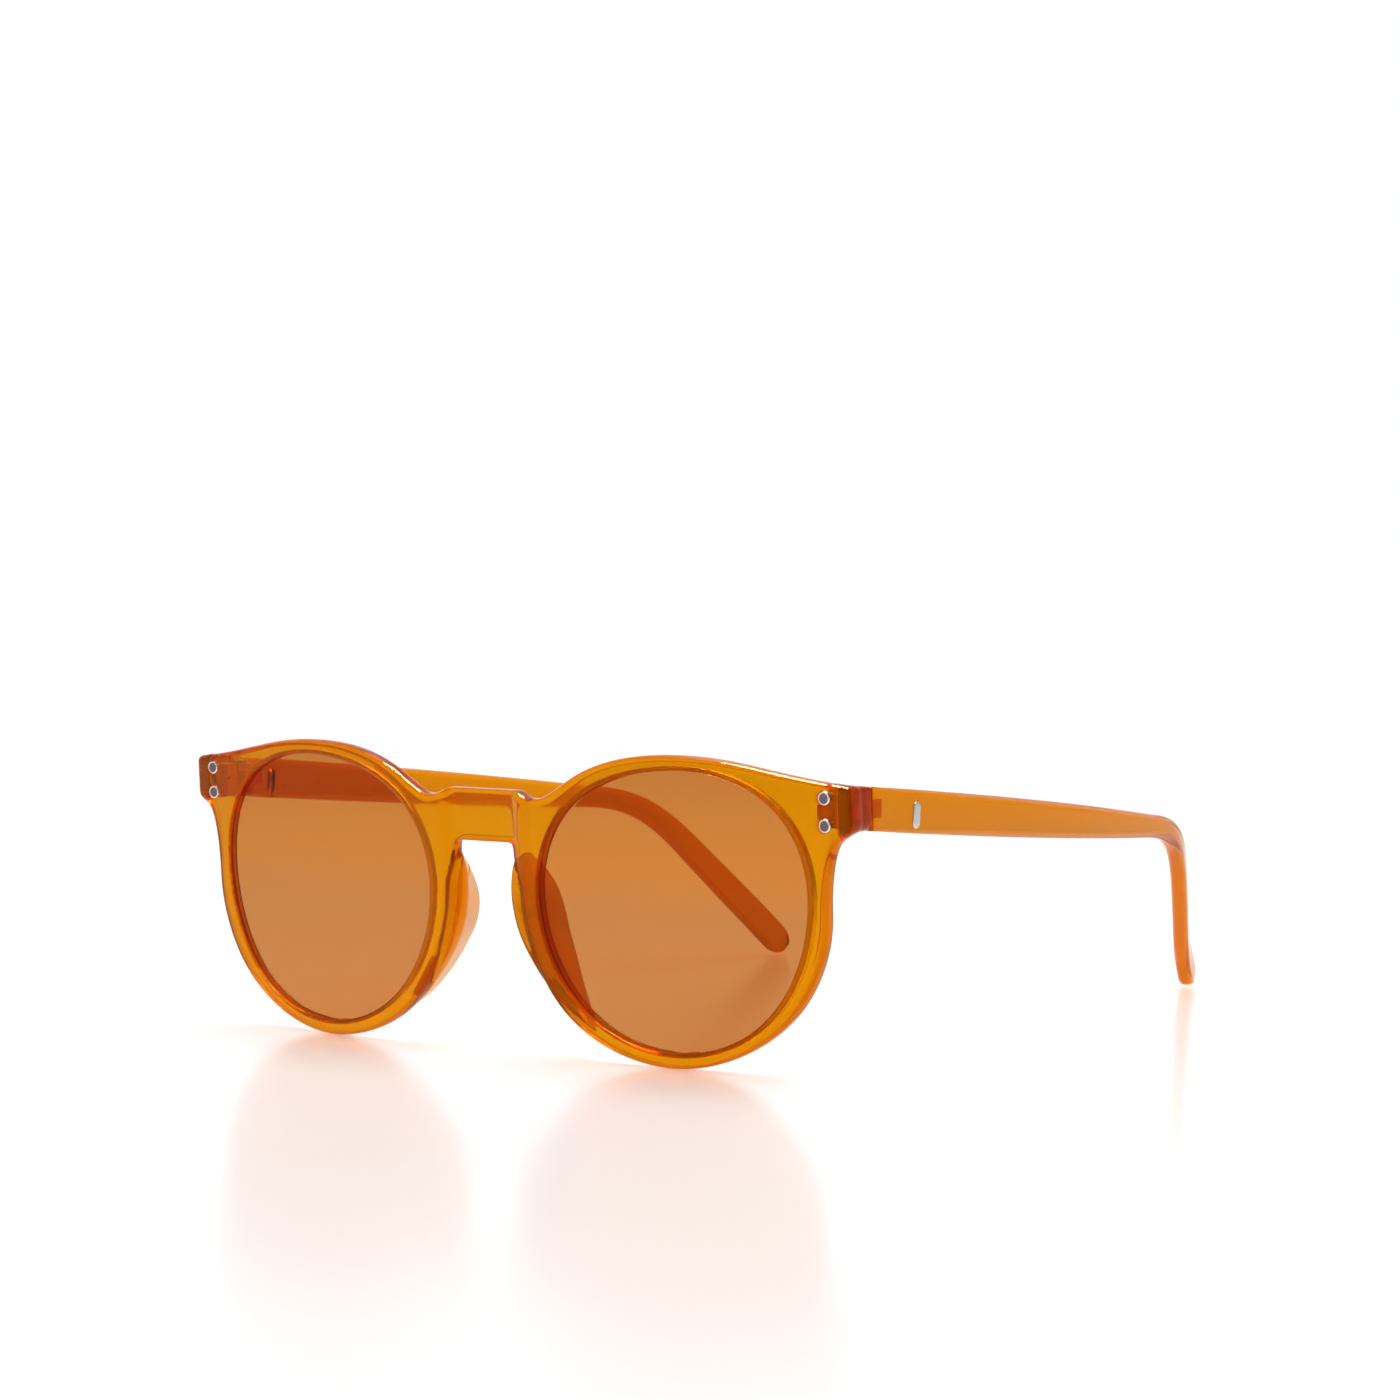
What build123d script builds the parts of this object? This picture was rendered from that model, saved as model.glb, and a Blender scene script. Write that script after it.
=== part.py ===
from build123d import *
import math
import os

# Round keyhole sunglasses. Millimetres. +X is the wearer's left, -Y is the front, +Z is up.
# The front is drawn flat in its own X-Z plane, bent to a cylinder, and leans forward at the top.
# The wearer's left side, at +X, is made first: the right side is its mirror image.

# ---- driving dimensions -------------------------------------------------
FRONT_RADIUS = 347.0  # bend of the front about a vertical line behind it
FRONT_TILT = 3.3  # degrees that the top of the front leans forward
RIM_DEPTH = 2.7  # front to back through the rims
BRIDGE_RECESS = 0.8  # the bridge's face lies behind the rims' faces
BRIDGE_BACK = 3.3  # the bridge's rear face, behind the rims' front face
BRIDGE_HALF = 6.3
BRIDGE_TOP = 42.65
BRIDGE_UNDER = 34.2
PAD_SET_BACK = 0.15  # the nose pads' front edge, behind the rims' front face
SEAM_GAP = 0.02
TOOL_NEAR = -15.0  # Y range and height of the tools that cut and trim the front
TOOL_FAR = 25.0
TOOL_HEIGHT = 120.0

LENS_X = 35.69  # centre of each lens opening
LENS_Z = 25.18
OPENING_HALF_WIDTH = 24.5
OPENING_HALF_HEIGHT = 22.35
OPENING_POINTS = 28
GROOVE_DEPTH = 0.7
GROOVE_CLEARANCE = 0.06
LENS_FRONT = 0.7  # lens front face, behind the rim's front face
LENS_THICKNESS = 1.5

END_X = 67.5  # outer face of end pieces and temples
END_INNER_X = 63.9
END_UNDER = 37.65
END_TOP_FRONT = 45.6  # the end piece's top slopes down from the rim to the joint
END_TOP_JOINT = 44.5
JOINT_DEPTH = 12.17  # joint face of the end piece, behind the front's datum
JOINT_GAP = 0.25
SEAT_GAP = 0.05  # between a hinge part and the plastic that it is set against

TEMPLE_START = (END_X, 10.04, 41.68)  # middle of the outer face's front end
TEMPLE_THICKNESS_FRONT = 3.58
TEMPLE_THICKNESS_REAR = 2.66
JOINT_HEIGHT = 6.86
WAIST_HEIGHT = 4.1
TIP_HEIGHT = 5.6
WAIST_TAPER = 2.3  # how late the height falls towards the waist
WIDENING_LENGTH = 52.0  # from the waist to the full height of the tip
TEMPLE_CORNER = 0.9
TEMPLE_LENGTH = 152.0  # along the temple, joint to tip
BEND_START = 94.7
BEND_LENGTH = 28.7
SLOPE_DOWN = 0.0920  # radians, of the straight part towards the rear
EAR_BEND = 0.6808
TOE_OUT = 0.039  # at the joint the temple points slightly outward,
CURL_IN_PER_100 = 0.194  # then curls steadily inward,
EAR_CURL_IN = 0.275  # and more at the ear,
TIP_TURN_OUT = 0.2  # and its tip turns out again
TIP_TURN_START = 133.0
TEMPLE_STATIONS = [-1.5, 15, 32, 50, 68, 84, 95, 102, 109, 116, 123, 133, 142, 148.4]

HINGE_X = 61.85  # hinge axis, vertical
HINGE_Y = 9.95
KNUCKLE_RADIUS = 1.7
KNUCKLE_CLEARANCE = 0.3
SCREW_RADIUS = 0.7
BORE_RADIUS = 0.75
HINGE_LOW = 38.8
HINGE_HIGH = 44.1
CENTRE_KNUCKLE_LOW = 39.9
CENTRE_KNUCKLE_HIGH = 42.9
KNUCKLE_GAP = 0.1
SCREW_HEAD_RADIUS = 1.25
SCREW_HEAD_HEIGHT = 0.5
BLOCK_INNER_X = 60.6
BLOCK_FRONT_Y = 4.0
LEAF_THICKNESS = 1.1
LEAF_LENGTH = 5.3
LEAF_SET_BACK = 0.3  # from the hinge axis
SLOT_WIDTH = 0.4

RIVET_X = 63.1
RIVET_HEIGHTS = {"upper": 43.25, "lower": 39.05}
RIVET_HEAD_RADIUS = 1.1
RIVET_HEAD_DEPTH = 0.6
RIVET_PROUD = 0.12
RIVET_SHANK_RADIUS = 0.5
RIVET_LENGTH = 3.6
RIVET_CLEARANCE = 0.03
RIVET_EDGE = 0.2

INLAY_FROM_JOINT = 11.7
INLAY_DROP = 0.5  # centre of the inlay, below the middle of the temple
INLAY_HEIGHT = 4.2
INLAY_WIDTH = 1.8
INLAY_DEPTH = 0.35


def front_surface_y(x, depth=0.0):
    """Y of the cylinder that lies depth behind the front face, at x, before the front is tilted."""
    return FRONT_RADIUS - math.sqrt((FRONT_RADIUS - depth) ** 2 - x**2)


def tilted(shape):
    return Rot(FRONT_TILT, 0, 0) * shape


def within_front(depth):
    """Everything behind the cylinder that lies depth behind the front face."""
    return Pos(0, FRONT_RADIUS, LENS_Z) * Cylinder(FRONT_RADIUS - depth, TOOL_HEIGHT)


def bent_layer(near, far):
    """The layer of the bent front between two depths behind its front face."""
    return within_front(near) - within_front(far)


def through_front(face, near=TOOL_NEAR, far=TOOL_FAR):
    """A flat X-Z face made into a prism along Y, from near to far."""
    return extrude(Pos(0, near, 0) * face, amount=far - near, dir=(0, 1, 0))


# ---- front --------------------------------------------------------------
def opening_radius_factor(angle):
    """How far the lens opening departs from an ellipse: a softly rounded panto shape."""
    return (
        1
        - 0.0106 * math.cos(3 * angle)
        + 0.0235 * math.sin(3 * angle)
        - 0.0122 * math.cos(4 * angle)
        - 0.0018 * math.sin(4 * angle)
        + 0.0099 * math.sin(2 * angle)
    )


def opening_face(grow=0.0):
    """The left lens opening, grown outward all round."""
    points = []
    for i in range(OPENING_POINTS):
        angle = 2 * math.pi * i / OPENING_POINTS
        factor = opening_radius_factor(angle)
        x = LENS_X + (OPENING_HALF_WIDTH * factor + grow) * math.cos(angle)
        z = LENS_Z + (OPENING_HALF_HEIGHT * factor + grow) * math.sin(angle)
        points.append(Vector(x, 0, z))
    return Face(Wire([Edge.make_spline(points, periodic=True)]))


def spline_through(points, start, end):
    return Edge.make_spline([Vector(x, 0, z) for x, z in points], tangents=[Vector(*start), Vector(*end)])


def line_between(a, b):
    return Edge.make_line(Vector(a[0], 0, a[1]), Vector(b[0], 0, b[1]))


def half_outline_face():
    """The left half of the front's outline: rim, end piece and half the keyhole bridge."""
    up, down, right, left = (0, 0, 1), (0, 0, -1), (1, 0, 0), (-1, 0, 0)
    top_centre, top_end = (0, BRIDGE_TOP), (BRIDGE_HALF, BRIDGE_TOP)
    notch_and_brow = [
        top_end,
        (8.8, 41.9),
        (11.0, 41.5),
        (13.6, 42.4),
        (18.3, 45.2),
        (25.5, 47.95),
        (36.5, 49.15),
        (46.0, 48.5),
        (55.5, 46.75),
        (66.4, 44.95),
    ]
    end_high, end_low = (END_X, 44.0), (END_X, 39.0)
    corner = [(66.4, 44.95), (67.2, 44.65), end_high]
    under_end = [end_low, (66.9, 37.8), (65.0, 36.4), (63.7, 33.7), (63.0, 29.5), (62.8, 25.0)]
    rim_bottom = [
        (62.8, 25.0),
        (60.9, 16.0),
        (57.3, 10.0),
        (52.1, 5.3),
        (44.5, 1.55),
        (36.2, 0.05),
        (27.5, 1.1),
        (19.8, 4.3),
        (14.4, 8.7),
        (9.9, 15.8),
        (7.6, 23.0),
    ]
    nasal = [(7.6, 23.0), (6.9, 28.5), (6.2, 31.3), (6.0, 33.0)]
    keyhole_corner = [(6.0, 33.0), (5.7, 33.85), (4.8, BRIDGE_UNDER)]
    brow_end = (1, 0, -0.15)
    rim_side = (0, 0, -1)
    nasal_join = (-0.18, 0, 1)
    edges = [
        line_between(top_centre, top_end),
        spline_through(notch_and_brow, right, brow_end),
        spline_through(corner, brow_end, down),
        line_between(end_high, end_low),
        spline_through(under_end, down, rim_side),
        spline_through(rim_bottom, rim_side, nasal_join),
        spline_through(nasal, nasal_join, up),
        spline_through(keyhole_corner, up, left),
        line_between((4.8, BRIDGE_UNDER), (0, BRIDGE_UNDER)),
        line_between((0, BRIDGE_UNDER), top_centre),
    ]
    return Face(Wire(edges))


def both_sides(shape):
    return shape + mirror(shape, about=Plane.YZ)


def make_end_piece(outline):
    """The thick block that turns back from the rim to the temple joint, its top sloping down."""
    front_y = front_surface_y(END_X)
    side = Polyline(
        (END_INNER_X, 0, END_UNDER),
        (END_INNER_X, JOINT_DEPTH, END_UNDER),
        (END_INNER_X, JOINT_DEPTH, END_TOP_JOINT),
        (END_INNER_X, front_y, END_TOP_FRONT),
        (END_INNER_X, 0, END_TOP_FRONT),
        close=True,
    )
    block = extrude(make_face(side.edges()), amount=END_X, dir=(1, 0, 0))
    return through_front(outline) & block & within_front(0)


def make_bridge(outline):
    """The bridge bar: set back from the rims in front and thicker behind them."""
    depth = TOOL_FAR - TOOL_NEAR
    height = BRIDGE_TOP - BRIDGE_UNDER + 2
    zone = Pos(0, 0, (BRIDGE_TOP + BRIDGE_UNDER) / 2) * Box(2 * BRIDGE_HALF, depth, height)
    bar = through_front(outline) & zone
    return (bar & bent_layer(BRIDGE_RECESS, BRIDGE_BACK)), zone


def make_front():
    outline = half_outline_face()
    rim = through_front(outline) & bent_layer(0, RIM_DEPTH)
    rim += make_end_piece(outline)
    bar, zone = make_bridge(outline)
    rim -= zone
    rim += bar
    rim -= through_front(opening_face())
    groove_front = LENS_FRONT - GROOVE_CLEARANCE
    groove_back = LENS_FRONT + LENS_THICKNESS + GROOVE_CLEARANCE
    groove = through_front(opening_face(GROOVE_DEPTH + GROOVE_CLEARANCE))
    rim -= groove & bent_layer(groove_front, groove_back)
    for height in RIVET_HEIGHTS.values():
        rim -= rivet_hole(height)
    return tilted(both_sides(rim))


def make_lens():
    return tilted(
        through_front(opening_face(GROOVE_DEPTH)) & bent_layer(LENS_FRONT, LENS_FRONT + LENS_THICKNESS)
    )


# ---- nose pads ----------------------------------------------------------
def pad_outline(height, front_centre, front_radius, rear_centre, rear_radius):
    """Closed smooth outline round two circles of the pad, level at the given height."""
    slant = math.atan2(rear_centre[1] - front_centre[1], rear_centre[0] - front_centre[0])
    points = []
    for centre, radius, turns in (
        (rear_centre, rear_radius, (-80, -30, 30, 80)),
        (front_centre, front_radius, (100, 150, 210, 260)),
    ):
        for turn in turns:
            angle = slant + math.radians(turn)
            points.append(
                Vector(centre[0] + radius * math.cos(angle), centre[1] + radius * math.sin(angle), height)
            )
    return Face(Wire([Edge.make_spline(points, periodic=True)]))


# height, centre and radius of the pad's front edge, centre and radius of its rear edge
PAD_SECTIONS = [
    (32.2, (7.2, 2.2), 1.0, (7.8, 3.4), 0.6),
    (30.0, (7.1, 2.2), 1.7, (8.2, 5.2), 0.9),
    (27.0, (7.2, 2.3), 2.1, (8.6, 7.2), 1.0),
    (23.5, (7.4, 2.3), 2.2, (8.9, 8.5), 1.0),
    (19.5, (8.6, 2.3), 2.2, (9.8, 8.6), 1.0),
    (15.5, (10.6, 2.4), 2.0, (11.7, 7.8), 1.0),
    (11.5, (13.4, 2.5), 1.8, (14.0, 6.5), 1.0),
    (7.5, (17.0, 2.6), 1.3, (17.2, 4.7), 0.8),
    (5.2, (19.5, 2.6), 0.8, (19.6, 3.6), 0.5),
]


def make_nose_pad():
    """Pad on the nasal side of the left rim, flared outward towards the rear."""
    pad = loft([pad_outline(*section) for section in PAD_SECTIONS])
    pad &= within_front(PAD_SET_BACK)
    outline = half_outline_face()
    pad -= through_front(outline) & bent_layer(-RIM_DEPTH, RIM_DEPTH + SEAM_GAP)
    pad -= through_front(opening_face())
    return tilted(max(pad.solids(), key=lambda solid: solid.volume))


# ---- rivets -------------------------------------------------------------
def along_depth(x, height, near, far, radius):
    """A round bar along Y at (x, height), between two depths behind the front face at x."""
    start = front_surface_y(x) + near
    end = front_surface_y(x) + far
    middle = (start + end) / 2
    return Pos(x, middle, height) * (Rot(90, 0, 0) * Cylinder(radius, end - start))


def make_rivet(height):
    head = along_depth(RIVET_X, height, -RIVET_PROUD, RIVET_HEAD_DEPTH, RIVET_HEAD_RADIUS)
    head = fillet(head.edges().group_by(Axis.Y)[0], RIVET_EDGE)
    shank = along_depth(RIVET_X, height, RIVET_HEAD_DEPTH, RIVET_LENGTH, RIVET_SHANK_RADIUS)
    return tilted(head + shank)


def rivet_hole(height):
    gap = RIVET_CLEARANCE
    head = along_depth(RIVET_X, height, -1, RIVET_HEAD_DEPTH + gap, RIVET_HEAD_RADIUS + gap)
    shank = along_depth(RIVET_X, height, 0, RIVET_LENGTH + gap, RIVET_SHANK_RADIUS + gap)
    return head + shank


# ---- hinge --------------------------------------------------------------
def level_box(x_low, x_high, y_low, y_high, z_low, z_high):
    middle = ((x_low + x_high) / 2, (y_low + y_high) / 2, (z_low + z_high) / 2)
    return Pos(*middle) * Box(x_high - x_low, y_high - y_low, z_high - z_low)


def upright(radius, low, high):
    """A round bar on the hinge axis."""
    return Pos(HINGE_X, HINGE_Y, (low + high) / 2) * Cylinder(radius, high - low)


def make_front_hinge():
    """Block behind the end piece that carries the upper and lower knuckles."""
    outer_x = END_INNER_X - SEAT_GAP
    knuckle_side = HINGE_Y - KNUCKLE_RADIUS - KNUCKLE_CLEARANCE
    block = level_box(BLOCK_INNER_X, outer_x, BLOCK_FRONT_Y, knuckle_side, HINGE_LOW, HINGE_HIGH)
    block &= tilted(within_front(RIM_DEPTH + SEAM_GAP))
    for low, high in ((HINGE_LOW, CENTRE_KNUCKLE_LOW), (CENTRE_KNUCKLE_HIGH, HINGE_HIGH)):
        block += upright(KNUCKLE_RADIUS, low, high)
        block += level_box(
            HINGE_X - KNUCKLE_RADIUS, HINGE_X + KNUCKLE_RADIUS, knuckle_side - 0.1, HINGE_Y, low, high
        )
    block -= upright(BORE_RADIUS, HINGE_LOW - 1, HINGE_HIGH + 1)
    for height in RIVET_HEIGHTS.values():
        block -= tilted(rivet_hole(height))
    return block


def make_temple_hinge():
    """Leaf on the temple's inner face with the centre knuckle."""
    low = CENTRE_KNUCKLE_LOW + KNUCKLE_GAP
    high = CENTRE_KNUCKLE_HIGH - KNUCKLE_GAP
    outer = END_X - TEMPLE_THICKNESS_FRONT - SEAT_GAP
    front = HINGE_Y + LEAF_SET_BACK
    leaf = level_box(outer - LEAF_THICKNESS, outer, front, front + LEAF_LENGTH, low, high)
    arm = level_box(HINGE_X, outer - LEAF_THICKNESS / 2, front, HINGE_Y + KNUCKLE_RADIUS, low, high)
    knuckle = upright(KNUCKLE_RADIUS, low, high)
    return knuckle + arm + leaf - upright(BORE_RADIUS, low - 1, high + 1)


def make_hinge_screw():
    shank = upright(SCREW_RADIUS, HINGE_LOW + 0.1, HINGE_HIGH)
    head = upright(SCREW_HEAD_RADIUS, HINGE_HIGH, HINGE_HIGH + SCREW_HEAD_HEIGHT)
    top = HINGE_HIGH + SCREW_HEAD_HEIGHT
    slot = Pos(HINGE_X, HINGE_Y, top) * Box(3 * SCREW_HEAD_RADIUS, SLOT_WIDTH, SCREW_HEAD_HEIGHT)
    return shank + head - slot


# ---- temple -------------------------------------------------------------
def smooth_step(value):
    value = min(max(value, 0.0), 1.0)
    return value * value * (3 - 2 * value)


def temple_direction(s):
    """Unit direction of the temple at length s from the joint: it slopes, curves in, bends down."""
    bend = smooth_step((s - BEND_START) / BEND_LENGTH)
    inward = -TOE_OUT + CURL_IN_PER_100 * s / 100 + EAR_CURL_IN * bend
    inward -= TIP_TURN_OUT * smooth_step((s - TIP_TURN_START) / (TEMPLE_LENGTH - TIP_TURN_START))
    downward = SLOPE_DOWN + EAR_BEND * bend
    return Vector(
        -math.sin(inward) * math.cos(downward), math.cos(inward) * math.cos(downward), -math.sin(downward)
    )


def temple_point(length):
    """Centre of the temple's outer face at a length from the joint."""
    point = Vector(*TEMPLE_START)
    steps = max(1, round(abs(length)))
    step = length / steps
    for i in range(steps):
        point += temple_direction((i + 0.5) * step) * step
    return point


def temple_height(s):
    """Tall at the joint, slim where the ear bend starts, widening again to the tip."""
    share = max(s, 0) / BEND_START
    if share < 1:
        return JOINT_HEIGHT - (JOINT_HEIGHT - WAIST_HEIGHT) * share**WAIST_TAPER
    widening = smooth_step((s - BEND_START) / WIDENING_LENGTH)
    return WAIST_HEIGHT + (TIP_HEIGHT - WAIST_HEIGHT) * widening


def temple_section(s, scale=1.0):
    """Rounded cross-section of the temple at length s."""
    direction = temple_direction(s)
    outward = Vector(direction.Y, -direction.X, 0).normalized()
    share = s / TEMPLE_LENGTH
    thickness = TEMPLE_THICKNESS_FRONT + (TEMPLE_THICKNESS_REAR - TEMPLE_THICKNESS_FRONT) * share
    height = temple_height(s)
    centre = temple_point(s) - outward * (thickness / 2)
    plane = Plane(origin=centre, x_dir=outward, z_dir=direction)
    return plane * RectangleRounded(thickness * scale, height * scale, TEMPLE_CORNER * scale)


def make_temple():
    """The arm, its front end cut parallel to the end piece's joint face."""
    sections = [temple_section(s).face() for s in TEMPLE_STATIONS]
    sections.append(temple_section(TEMPLE_LENGTH - 0.6, 0.8).face())
    sections.append(temple_section(TEMPLE_LENGTH, 0.45).face())
    ahead_of_joint = level_box(END_INNER_X - 10, END_X + 10, 0, JOINT_DEPTH + JOINT_GAP, 20, 60)
    return loft(sections) - tilted(ahead_of_joint)


def make_inlay():
    """Small plain metal capsule set flush into the temple's outer face, upright."""
    direction = temple_direction(INLAY_FROM_JOINT)
    outward = Vector(direction.Y, -direction.X, 0).normalized()
    centre = temple_point(INLAY_FROM_JOINT) - outward * INLAY_DEPTH - Vector(0, 0, INLAY_DROP)
    plane = Plane(origin=centre, x_dir=outward.cross(direction), z_dir=outward)
    return extrude(plane * SlotOverall(INLAY_HEIGHT, INLAY_WIDTH), amount=INLAY_DEPTH)


# ---- assembly -----------------------------------------------------------
def all_nodes():
    front = make_front()
    temple = make_temple()
    inlay = make_inlay()
    sided = {
        "lens": make_lens(),
        "nose_pad": make_nose_pad(),
        "front_hinge": make_front_hinge(),
        "hinge_screw": make_hinge_screw(),
        "temple": temple - inlay,
        "temple_hinge": make_temple_hinge(),
        "temple_inlay": inlay,
    }
    for name, height in RIVET_HEIGHTS.items():
        sided["rivet_" + name] = make_rivet(height)
    nodes = {"front_frame": front}
    for name, shape in sided.items():
        nodes[name + "_left"] = shape
        nodes[name + "_right"] = mirror(shape, about=Plane.YZ)
    return nodes


def origin_shift(nodes):
    """The move that puts the origin at the centre of the footprint, on the surface it stands on."""
    boxes = [shape.bounding_box() for shape in nodes.values()]
    front = min(box.min.Y for box in boxes)
    rear = max(box.max.Y for box in boxes)
    floor = min(box.min.Z for box in boxes)
    return Vector(0, -(front + rear) / 2, -floor)


def main():
    os.makedirs("parts", exist_ok=True)
    nodes = all_nodes()
    shift = origin_shift(nodes)
    print("shift", shift)
    for name, shape in nodes.items():
        export_step(Pos(*shift) * shape, f"parts/{name}.step")


main()
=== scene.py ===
import bpy
import math
import numpy as np
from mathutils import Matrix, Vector


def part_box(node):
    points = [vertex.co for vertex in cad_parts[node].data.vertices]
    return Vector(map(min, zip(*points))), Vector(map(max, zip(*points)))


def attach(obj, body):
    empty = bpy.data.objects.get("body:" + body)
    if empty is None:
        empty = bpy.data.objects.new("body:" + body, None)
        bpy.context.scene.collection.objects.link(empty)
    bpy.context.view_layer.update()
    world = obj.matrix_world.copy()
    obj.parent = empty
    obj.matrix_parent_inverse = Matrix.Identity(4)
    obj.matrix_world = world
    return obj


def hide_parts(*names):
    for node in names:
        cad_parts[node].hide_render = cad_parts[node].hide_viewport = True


# Round keyhole sunglasses in translucent amber plastic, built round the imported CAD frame.
# Shapes are worked out in millimetres in the front's own space, where the front stands upright:
# x to the wearer's left, y back from the middle of the bridge, z up from the rims' lowest point.

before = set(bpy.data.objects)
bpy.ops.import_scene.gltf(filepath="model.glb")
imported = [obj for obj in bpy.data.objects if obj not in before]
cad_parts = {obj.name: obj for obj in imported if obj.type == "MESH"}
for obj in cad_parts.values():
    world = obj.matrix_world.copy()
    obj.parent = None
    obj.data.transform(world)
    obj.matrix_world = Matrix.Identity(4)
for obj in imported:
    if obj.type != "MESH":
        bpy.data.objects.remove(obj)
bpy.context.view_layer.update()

MM = 0.001
SIDES = ("left", "right")  # the wearer's; left is +X

# ---- sizes shared with the CAD model ------------------------------------
FRONT_RADIUS = 347.0
FRONT_TILT = math.radians(3.3)
RIM_DEPTH = 2.7
BRIDGE_RECESS = 0.95
BRIDGE_BACK = 3.3
BRIDGE_HALF = 6.3
BRIDGE_TOP = 42.65
BRIDGE_UNDER = 34.2
LENS_X, LENS_Z = 35.69, 25.18
OPENING_HALF_WIDTH, OPENING_HALF_HEIGHT = 24.5, 22.35
GROOVE_DEPTH = 0.7
GROOVE_CLEARANCE = 0.06
LENS_FRONT, LENS_THICKNESS = 0.7, 1.5
END_X, END_INNER_X = 67.5, 63.9
END_UNDER = 37.65
END_TOP_FRONT, END_TOP_JOINT = 45.6, 44.5
JOINT_DEPTH = 12.17
HINGE_Y = 9.95
SCREW_TOP = 44.6
RIVET_X = 63.1
RIVET_HEIGHTS = {"upper": 43.25, "lower": 39.05}
RIVET_HEAD_RADIUS, RIVET_HEAD_DEPTH = 1.1, 0.6
RIVET_SHANK_RADIUS, RIVET_LENGTH = 0.5, 3.6
RIVET_HEAD_CLEARANCE, RIVET_SHANK_CLEARANCE = 0.06, 0.05

# ---- roundings and fillets of the front ---------------------------------
RIM_FRONT_ROUND, RIM_BACK_ROUND = 1.05, 0.9
BRIDGE_THICK_HALF = 6.5  # the bridge is deeper than the rims up to here
BRIDGE_THICK_FADE = 3.5  # and falls to their depth over this width
END_INNER_ROUND, END_FRONT_ROUND, END_TOP_ROUND = 0.3, 0.8, 0.4
END_UNDER_ROUND, END_JOINT_ROUND, END_FILLET = 0.5, 0.12, 0.5
RECESS_HALF, RECESS_WALL_LEAN, RECESS_WALL_DEPTH = 7.1, 1.3, 0.5
RECESS_FILLET, RECESS_EDGE_ROUND, OPENING_ROUND = 0.8, 0.5, 0.4
# (wave, waves round the opening, share of the radius) that soften the ellipse
OPENING_WAVES = (
    (np.cos, 3, -0.0106),
    (np.sin, 3, 0.0235),
    (np.cos, 4, -0.0122),
    (np.sin, 4, -0.0018),
    (np.sin, 2, 0.0099),
)


def footprint_shift():
    """From the front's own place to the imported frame's origin, read off the left hinge screw."""
    low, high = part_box("hinge_screw_left")
    middle_y = (low[1] + high[1]) / 2 / MM
    return np.array([0.0, middle_y - HINGE_Y, high[2] / MM - SCREW_TOP])


SHIFT = footprint_shift()


# ---- small mathematics --------------------------------------------------
def smooth_step(value):
    value = np.clip(value, 0.0, 1.0)
    return value * value * (3 - 2 * value)


def round_max(a, b, radius):
    """Intersection of two distance fields whose outer edge is rounded."""
    corner = np.hypot(np.maximum(a + radius, 0), np.maximum(b + radius, 0))
    return np.minimum(np.maximum(a, b), -radius) + corner


def round_min(a, b, radius):
    """Union of two distance fields whose inner corner is filleted."""
    return -round_max(-a, -b, radius)


def smooth_curve(points, start, end, count):
    """Clamped cubic spline through 2-D points, with the given end directions."""
    points = np.array(points, float)
    chord = np.hypot(*np.diff(points, axis=0).T)
    knots = np.concatenate([[0.0], np.cumsum(chord)])
    n = len(points)
    system = np.zeros((n, n))
    right = np.zeros((n, 2))
    slope = np.diff(points, axis=0) / chord[:, None]
    start = np.array(start, float) / np.linalg.norm(start)
    end = np.array(end, float) / np.linalg.norm(end)
    system[0, :2] = 2 * chord[0], chord[0]
    right[0] = 6 * (slope[0] - start)
    system[-1, -2:] = chord[-1], 2 * chord[-1]
    right[-1] = 6 * (end - slope[-1])
    for i in range(1, n - 1):
        system[i, i - 1 : i + 2] = chord[i - 1], 2 * (chord[i - 1] + chord[i]), chord[i]
        right[i] = 6 * (slope[i] - slope[i - 1])
    bend = np.linalg.solve(system, right)
    at = np.linspace(0, knots[-1], count)
    k = np.clip(np.searchsorted(knots, at, side="right") - 1, 0, n - 2)
    h = chord[k][:, None]
    a = (knots[k + 1] - at)[:, None]
    b = (at - knots[k])[:, None]
    curve = (bend[k] * a**3 + bend[k + 1] * b**3) / (6 * h)
    curve += (points[k] / h - bend[k] * h / 6) * a
    curve += (points[k + 1] / h - bend[k + 1] * h / 6) * b
    return curve


def outline_distance(outline, x, z):
    """Signed distance from points to a closed outline, negative inside."""
    a = outline
    b = np.roll(outline, -1, axis=0)
    flat_x, flat_z = np.ravel(x), np.ravel(z)
    result = np.empty(len(flat_x))
    edge = b - a
    length2 = np.maximum((edge**2).sum(1), 1e-12)
    chunk = 20000
    for i in range(0, len(flat_x), chunk):
        px = flat_x[i : i + chunk, None]
        pz = flat_z[i : i + chunk, None]
        along = ((px - a[:, 0]) * edge[:, 0] + (pz - a[:, 1]) * edge[:, 1]) / length2
        along = np.clip(along, 0, 1)
        gap = np.hypot(px - a[:, 0] - along * edge[:, 0], pz - a[:, 1] - along * edge[:, 1])
        spans = (a[:, 1] > pz) != (b[:, 1] > pz)
        rise = np.where(edge[:, 1] == 0, 1e-12, edge[:, 1])
        crossing = a[:, 0] + (pz - a[:, 1]) * edge[:, 0] / rise
        inside = (spans & (px < crossing)).sum(1) % 2 == 1
        nearest = gap.min(1)
        result[i : i + chunk] = np.where(inside, -nearest, nearest)
    return result.reshape(np.shape(x))


# ---- the front's space --------------------------------------------------
def surface_y(x, depth):
    """Y of the bent layer at that depth behind the front face."""
    return FRONT_RADIUS - np.sqrt((FRONT_RADIUS - depth) ** 2 - x**2)


def front_to_row(x, y, z):
    """From the upright front's space to the row frame, in metres."""
    cos, sin = math.cos(FRONT_TILT), math.sin(FRONT_TILT)
    placed = np.stack([x, y * cos - z * sin, z * cos + y * sin], axis=-1)
    return (placed + SHIFT) * MM


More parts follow.
